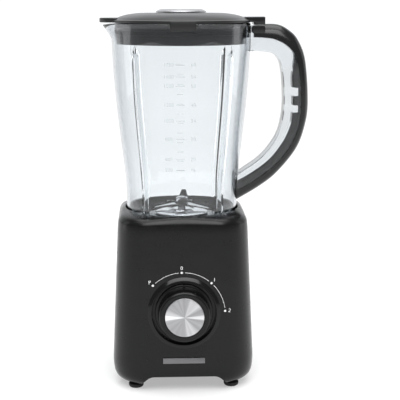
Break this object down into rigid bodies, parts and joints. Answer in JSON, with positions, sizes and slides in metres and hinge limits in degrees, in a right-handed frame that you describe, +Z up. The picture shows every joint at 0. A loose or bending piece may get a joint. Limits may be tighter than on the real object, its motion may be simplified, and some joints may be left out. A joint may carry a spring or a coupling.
{
  "type": "countertop blender",
  "caption": "Countertop blender with a black tapered motor base, dial, clear ribbed jug with handle and spout, blade unit, black lid and filler cap.",
  "frame": {"origin": "bottom centre of the whole object's box, on the surface the feet stand on", "axes": "+Z up, +Y to the back so the dial faces -Y, handle towards +X and spout towards -X"},
  "size_m": [0.2088, 0.1646, 0.3749],
  "materials": {
    "black_plastic": "satin",
    "gloss_black": "gloss",
    "lid_plastic": "semi gloss",
    "clear_plastic": "clear, polished",
    "steel": "ground",
    "chrome": "polished",
    "silver": "brushed",
    "rubber": "matt",
    "silicone": "matt",
    "copper": "enamelled wire",
    "iron": "laminated sheet steel",
    "nylon": "moulded"
  },
  "bodies": {
    "base": {"base_housing": "black_plastic", "bottom_plate": "black_plastic", "stator_core": "iron", "lower_bracket": "iron", "upper_bracket": "iron", "dial_bezel": "gloss_black", "cord_inlet": "rubber", "motor_mount_front_left": "rubber", "motor_mount_front_right": "rubber", "motor_mount_back_left": "rubber", "motor_mount_back_right": "rubber", "bottom_screw_front_left": "steel", "bottom_screw_front_right": "steel", "bottom_screw_back_left": "steel", "bottom_screw_back_right": "steel", "lower_bearing": "steel", "upper_bearing": "steel", "foot_front_left": "rubber", "foot_front_right": "rubber", "foot_back_left": "rubber", "foot_back_right": "rubber", "rotary_switch": "nylon", "brush_holder_front": "nylon", "brush_holder_back": "nylon", "field_coil_front": "copper", "field_coil_back": "copper", "badge_plate": "silver", "interlock_switch": "nylon"},
    "knob": {"knob": "black_plastic", "knob_disc": "silver", "switch_shaft": "nylon"},
    "rotor": {"motor_shaft": "steel", "armature_core": "iron", "armature_winding_bottom": "copper", "armature_winding_top": "copper", "commutator": "copper", "cooling_fan": "nylon", "drive_coupling": "nylon"},
    "interlock_pin": {"interlock_pin": "nylon"},
    "jug": {"jug": "clear_plastic", "handle_frame": "clear_plastic", "handle_cover": "gloss_black", "blade_bearing_housing": "chrome", "jug_gasket": "silicone", "blade_lock_nut": "black_plastic"},
    "blades": {"blade_shaft": "steel", "lower_blade": "steel", "upper_blade": "steel", "blade_spacer": "steel", "blade_nut": "steel", "driven_coupling": "black_plastic"},
    "lid": {"lid": "lid_plastic", "lid_seal": "silicone"},
    "cap": {"filler_cap": "gloss_black", "cap_disc": "silver"}
  },
  "joints": [
    {"name": "knob_turn", "type": "hinge", "parent": "base", "child": "knob", "pos_m": [-0.0234, -0.06239, 0.0814], "axis": [0, -0.999, 0.0448], "range_deg": [-90, 45]},
    {"name": "rotor_spin", "type": "hinge", "parent": "base", "child": "rotor", "pos_m": [-0.0234, 0.00619, 0.09], "axis": [0, 0, 1], "continuous": true},
    {"name": "interlock_press", "type": "slide", "parent": "base", "child": "interlock_pin", "axis": [0, 0, 1], "range_m": [-0.0015, 0], "stiffness_N_per_m": 200},
    {"name": "jug_lift", "type": "slide", "parent": "base", "child": "jug", "axis": [0, 0, 1], "range_m": [0, 0.06]},
    {"name": "blade_spin", "type": "hinge", "parent": "jug", "child": "blades", "pos_m": [-0.0234, 0.00619, 0.175], "axis": [0, 0, 1], "continuous": true},
    {"name": "lid_lift", "type": "slide", "parent": "jug", "child": "lid", "axis": [0, 0, 1], "range_m": [0, 0.05]},
    {"name": "cap_lift", "type": "slide", "parent": "lid", "child": "cap", "axis": [0, 0, 1], "range_m": [0, 0.05]}
  ],
  "couplings": [
    {"joint": "blade_spin", "follows": "rotor_spin", "ratio": 1}
  ]
}
